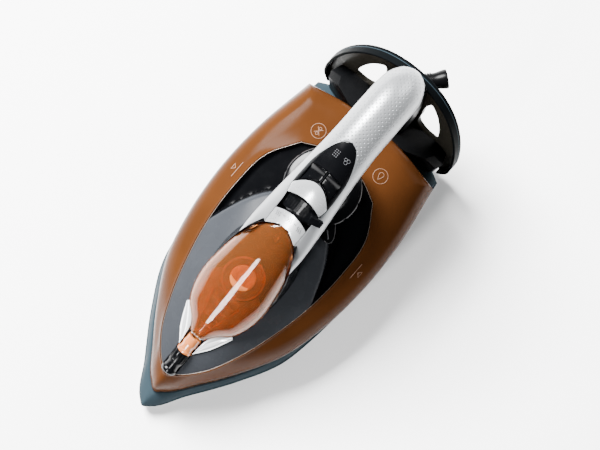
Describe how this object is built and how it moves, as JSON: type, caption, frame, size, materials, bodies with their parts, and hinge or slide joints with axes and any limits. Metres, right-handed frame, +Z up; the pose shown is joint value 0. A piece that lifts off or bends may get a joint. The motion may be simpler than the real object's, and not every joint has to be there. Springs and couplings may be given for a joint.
{
  "type": "steam iron",
  "caption": "Steam iron with a clear copper-brown water tank, an arched silver handle, a temperature dial, a filler lid, a steam lever, spray and steam buttons and a swivelling cord bush.",
  "frame": {"origin": "middle of the bounding box at the underside of the soleplate, as the iron lies flat", "axes": "+X towards the tip, +Y to the iron's left, +Z up from the soleplate"},
  "size_m": [0.2913, 0.1246, 0.1482],
  "materials": {
    "copper_plastic": "clear copper-brown, polished",
    "slate_plastic": "dark slate, polished",
    "blue_grey_plastic": "satin blue-grey",
    "silver_plastic": "silver with rows of fine dimples",
    "chrome_plate": "bright",
    "black_plastic": "black, satin",
    "aluminium_casting": "as cast",
    "steel": "ground",
    "brass": "turned",
    "ceramic": "white ceramic",
    "rubber": "moulded",
    "white_plastic": "natural white"
  },
  "bodies": {
    "iron": {"button_panel": "black_plastic", "column_screw": "steel", "deck": "slate_plastic", "dial_base": "black_plastic", "drip_valve_seat": "brass", "filler_funnel": "slate_plastic", "front_pillar": "black_plastic", "handle_cover": "silver_plastic", "handle_grip": "black_plastic", "heater_casting": "aluminium_casting", "heating_element": "steel", "heel_rim": "blue_grey_plastic", "heel_ring": "black_plastic", "heel_screw_left": "steel", "heel_screw_right": "steel", "icon_band": "silver_plastic", "lever_track": "black_plastic", "lid_pin": "steel", "nozzle_barrel": "copper_plastic", "nozzle_body": "black_plastic", "nozzle_tip": "brass", "post_front": "ceramic", "post_left": "ceramic", "post_right": "ceramic", "rear_body": "slate_plastic", "rear_column": "black_plastic", "saddle": "silver_plastic", "skirt": "blue_grey_plastic", "soleplate": "steel", "spindle_sleeve": "slate_plastic", "spray_pump": "white_plastic", "steam_chamber_cover": "steel", "steam_pump": "white_plastic", "tank_floor": "slate_plastic", "tank_shell": "copper_plastic", "terminal_block": "white_plastic", "thermal_fuse": "ceramic", "thermostat": "ceramic", "trim_left": "chrome_plate", "trim_right": "chrome_plate"},
    "dial": {"dial": "black_plastic", "thermostat_spindle": "steel"},
    "lever": {"steam_lever": "black_plastic"},
    "valve_rod": {"drip_valve_rod": "steel"},
    "lid": {"filler_lid": "copper_plastic", "lid_seal": "rubber"},
    "spray_key": {"spray_button": "black_plastic"},
    "steam_key": {"steam_button": "black_plastic"},
    "swivel": {"swivel_dome": "black_plastic"},
    "bush": {"cord_bush": "rubber"}
  },
  "joints": [
    {"name": "dial_turn", "type": "hinge", "parent": "iron", "child": "dial", "pos_m": [-0.03862, 0, 0.082], "axis": [0, 0, 1], "range_deg": [0, 266]},
    {"name": "lever_swing", "type": "hinge", "parent": "iron", "child": "lever", "pos_m": [-0.02801, 0, 0.1024], "axis": [-0.8572, 0, 0.515], "range_deg": [-38, 0]},
    {"name": "valve_lift", "type": "slide", "parent": "iron", "child": "valve_rod", "axis": [0, 0, 1], "range_m": [0, 0.00298]},
    {"name": "lid_hinge", "type": "hinge", "parent": "iron", "child": "lid", "pos_m": [0.08448, 0, 0.0649], "axis": [0, 1, 0], "range_deg": [0, 60]},
    {"name": "spray_press", "type": "slide", "parent": "iron", "child": "spray_key", "axis": [0, 0, -1], "range_m": [0, 0.003], "stiffness_N_per_m": 350},
    {"name": "steam_press", "type": "slide", "parent": "iron", "child": "steam_key", "axis": [0, 0, -1], "range_m": [0, 0.003], "stiffness_N_per_m": 350},
    {"name": "swivel_turn", "type": "hinge", "parent": "iron", "child": "swivel", "pos_m": [-0.12282, 0, 0.09], "axis": [-1, 0, 0], "continuous": true},
    {"name": "bush_tilt", "type": "hinge", "parent": "swivel", "child": "bush", "pos_m": [-0.12282, 0, 0.09], "axis": [0, 0, 1], "range_deg": [-5, 39]}
  ],
  "couplings": [
    {"joint": "lever_swing", "follows": "valve_lift", "rad_per_m": -222.22}
  ]
}
